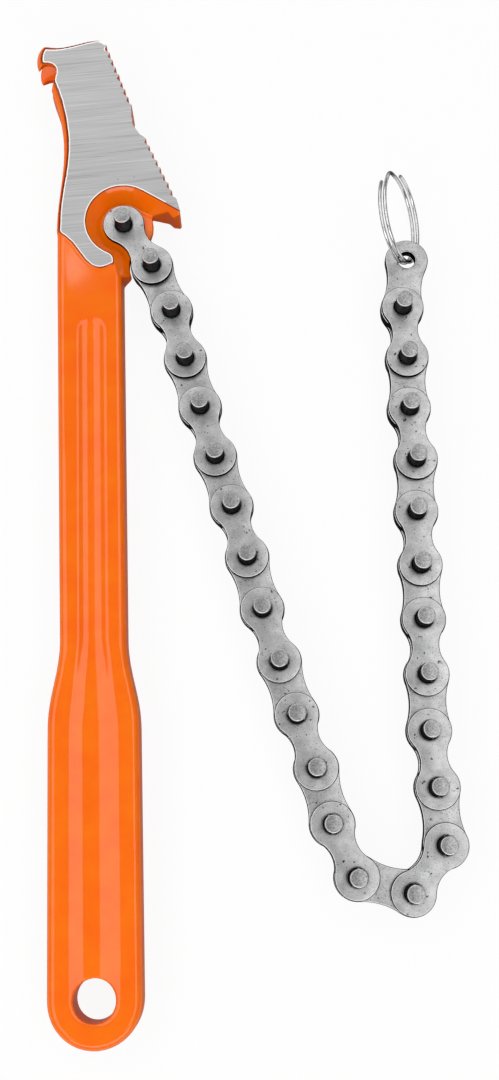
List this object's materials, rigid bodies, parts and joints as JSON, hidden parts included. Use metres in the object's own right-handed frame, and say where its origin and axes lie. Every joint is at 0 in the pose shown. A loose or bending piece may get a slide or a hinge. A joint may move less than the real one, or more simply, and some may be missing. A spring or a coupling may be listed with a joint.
{
  "type": "chain wrench",
  "caption": "Forged handle with a double toothed head, a hook and a pinned plate chain that ends in an eye with a split ring.",
  "frame": {"origin": "centre of the hanging hole, half way through the handle's thickness", "axes": "+Y along the handle to the head, +X to the side of the toothed jaws and the chain, +Z out of the front face"},
  "size_m": [0.1202, 0.3, 0.0263],
  "materials": {
    "orange_paint": "gloss",
    "chain_steel": "satin",
    "pin_steel": "satin",
    "bright_nickel": "polished"
  },
  "bodies": {
    "handle": {"forged_handle": "orange_paint"},
    "link_01": {"link_01_front_plate": "chain_steel", "link_01_back_plate": "chain_steel", "link_01_pins": "pin_steel"},
    "link_02": {"link_02_inner_plates": "chain_steel"},
    "link_03": {"link_03_front_plate": "chain_steel", "link_03_back_plate": "chain_steel", "link_03_pins": "pin_steel"},
    "link_04": {"link_04_inner_plates": "chain_steel"},
    "link_05": {"link_05_front_plate": "chain_steel", "link_05_back_plate": "chain_steel", "link_05_pins": "pin_steel"},
    "link_06": {"link_06_inner_plates": "chain_steel"},
    "link_07": {"link_07_front_plate": "chain_steel", "link_07_back_plate": "chain_steel", "link_07_pins": "pin_steel"},
    "link_08": {"link_08_inner_plates": "chain_steel"},
    "link_09": {"link_09_front_plate": "chain_steel", "link_09_back_plate": "chain_steel", "link_09_pins": "pin_steel"},
    "link_10": {"link_10_inner_plates": "chain_steel"},
    "link_11": {"link_11_front_plate": "chain_steel", "link_11_back_plate": "chain_steel", "link_11_pins": "pin_steel"},
    "link_12": {"link_12_inner_plates": "chain_steel"},
    "link_13": {"link_13_front_plate": "chain_steel", "link_13_back_plate": "chain_steel", "link_13_pins": "pin_steel"},
    "link_14": {"link_14_inner_plates": "chain_steel"},
    "link_15": {"link_15_front_plate": "chain_steel", "link_15_back_plate": "chain_steel", "link_15_pins": "pin_steel"},
    "link_16": {"link_16_inner_plates": "chain_steel"},
    "link_17": {"link_17_front_plate": "chain_steel", "link_17_back_plate": "chain_steel", "link_17_pins": "pin_steel"},
    "link_18": {"link_18_inner_plates": "chain_steel"},
    "link_19": {"link_19_front_plate": "chain_steel", "link_19_back_plate": "chain_steel", "link_19_pins": "pin_steel"},
    "link_20": {"link_20_inner_plates": "chain_steel"},
    "link_21": {"link_21_front_plate": "chain_steel", "link_21_back_plate": "chain_steel", "link_21_pins": "pin_steel"},
    "link_22": {"link_22_inner_plates": "chain_steel"},
    "link_23": {"link_23_front_plate": "chain_steel", "link_23_back_plate": "chain_steel", "link_23_pins": "pin_steel"},
    "link_24": {"link_24_inner_plates": "chain_steel"},
    "link_25": {"link_25_front_plate": "chain_steel", "link_25_back_plate": "chain_steel", "link_25_pins": "pin_steel"},
    "link_26": {"link_26_inner_plates": "chain_steel"},
    "ring": {"split_ring": "bright_nickel"}
  },
  "joints": [
    {"name": "anchor_swing", "type": "hinge", "parent": "handle", "child": "link_01", "pos_m": [0.0099, 0.2258, 0], "axis": [0, 0, 1], "range_deg": [0, 28]},
    {"name": "link_02_swing", "type": "hinge", "parent": "link_01", "child": "link_02", "pos_m": [0.01831, 0.21234, 0], "axis": [0, 0, -1], "range_deg": [-75, 12]},
    {"name": "link_03_swing", "type": "hinge", "parent": "link_02", "child": "link_03", "pos_m": [0.024, 0.19752, 0], "axis": [0, 0, 1], "range_deg": [-14, 64]},
    {"name": "link_04_swing", "type": "hinge", "parent": "link_03", "child": "link_04", "pos_m": [0.02784, 0.18211, 0], "axis": [0, 0, -1], "range_deg": [-54, 16]},
    {"name": "link_05_swing", "type": "hinge", "parent": "link_04", "child": "link_05", "pos_m": [0.03195, 0.16678, 0], "axis": [0, 0, 1], "range_deg": [-18, 45]},
    {"name": "link_06_swing", "type": "hinge", "parent": "link_05", "child": "link_06", "pos_m": [0.03606, 0.15144, 0], "axis": [0, 0, -1], "range_deg": [-38, 21]},
    {"name": "link_07_swing", "type": "hinge", "parent": "link_06", "child": "link_07", "pos_m": [0.04043, 0.13619, 0], "axis": [0, 0, 1], "range_deg": [-25, 32]},
    {"name": "link_08_swing", "type": "hinge", "parent": "link_07", "child": "link_08", "pos_m": [0.04454, 0.12085, 0], "axis": [0, 0, -1], "range_deg": [-28, 29]},
    {"name": "link_09_swing", "type": "hinge", "parent": "link_08", "child": "link_09", "pos_m": [0.04838, 0.10545, 0], "axis": [0, 0, 1], "range_deg": [-36, 24]},
    {"name": "link_10_swing", "type": "hinge", "parent": "link_09", "child": "link_10", "pos_m": [0.05276, 0.09019, 0], "axis": [0, 0, -1], "range_deg": [-21, 46]},
    {"name": "link_11_swing", "type": "hinge", "parent": "link_10", "child": "link_11", "pos_m": [0.05714, 0.07493, 0], "axis": [0, 0, 1], "range_deg": [-67, 19]},
    {"name": "link_12_swing", "type": "hinge", "parent": "link_11", "child": "link_12", "pos_m": [0.06204, 0.05983, 0], "axis": [0, 0, -1], "range_deg": [-17, 75]},
    {"name": "link_13_swing", "type": "hinge", "parent": "link_12", "child": "link_13", "pos_m": [0.06588, 0.04443, 0], "axis": [0, 0, 1], "range_deg": [-75, 15]},
    {"name": "link_14_swing", "type": "hinge", "parent": "link_13", "child": "link_14", "pos_m": [0.07208, 0.02981, 0], "axis": [0, 0, -1], "range_deg": [-14, 75]},
    {"name": "link_15_swing", "type": "hinge", "parent": "link_14", "child": "link_15", "pos_m": [0.08727, 0.02517, 0], "axis": [0, 0, 1], "range_deg": [-75, 14]},
    {"name": "link_16_swing", "type": "hinge", "parent": "link_15", "child": "link_16", "pos_m": [0.09704, 0.03768, 0], "axis": [0, 0, -1], "range_deg": [-15, 75]},
    {"name": "link_17_swing", "type": "hinge", "parent": "link_16", "child": "link_17", "pos_m": [0.09566, 0.0535, 0], "axis": [0, 0, 1], "range_deg": [-75, 19]},
    {"name": "link_18_swing", "type": "hinge", "parent": "link_17", "child": "link_18", "pos_m": [0.09427, 0.06931, 0], "axis": [0, 0, -1], "range_deg": [-21, 75]},
    {"name": "link_19_swing", "type": "hinge", "parent": "link_18", "child": "link_19", "pos_m": [0.09455, 0.08518, 0], "axis": [0, 0, 1], "range_deg": [-75, 23]},
    {"name": "link_20_swing", "type": "hinge", "parent": "link_19", "child": "link_20", "pos_m": [0.09455, 0.10106, 0], "axis": [0, 0, -1], "range_deg": [-26, 75]},
    {"name": "link_21_swing", "type": "hinge", "parent": "link_20", "child": "link_21", "pos_m": [0.09455, 0.11693, 0], "axis": [0, 0, 1], "range_deg": [-75, 29]},
    {"name": "link_22_swing", "type": "hinge", "parent": "link_21", "child": "link_22", "pos_m": [0.09427, 0.13281, 0], "axis": [0, 0, -1], "range_deg": [-34, 75]},
    {"name": "link_23_swing", "type": "hinge", "parent": "link_22", "child": "link_23", "pos_m": [0.0951, 0.14866, 0], "axis": [0, 0, 1], "range_deg": [-75, 42]},
    {"name": "link_24_swing", "type": "hinge", "parent": "link_23", "child": "link_24", "pos_m": [0.094, 0.1645, 0], "axis": [0, 0, -1], "range_deg": [-52, 75]},
    {"name": "link_25_swing", "type": "hinge", "parent": "link_24", "child": "link_25", "pos_m": [0.09427, 0.18037, 0], "axis": [0, 0, 1], "range_deg": [-75, 75]},
    {"name": "link_26_swing", "type": "hinge", "parent": "link_25", "child": "link_26", "pos_m": [0.09372, 0.19623, 0], "axis": [0, 0, -1], "range_deg": [-75, 75]},
    {"name": "ring_swing", "type": "hinge", "parent": "link_26", "child": "ring", "pos_m": [0.09593, 0.21195, 0], "axis": [0, 0, 1], "range_deg": [-60, 60]}
  ]
}
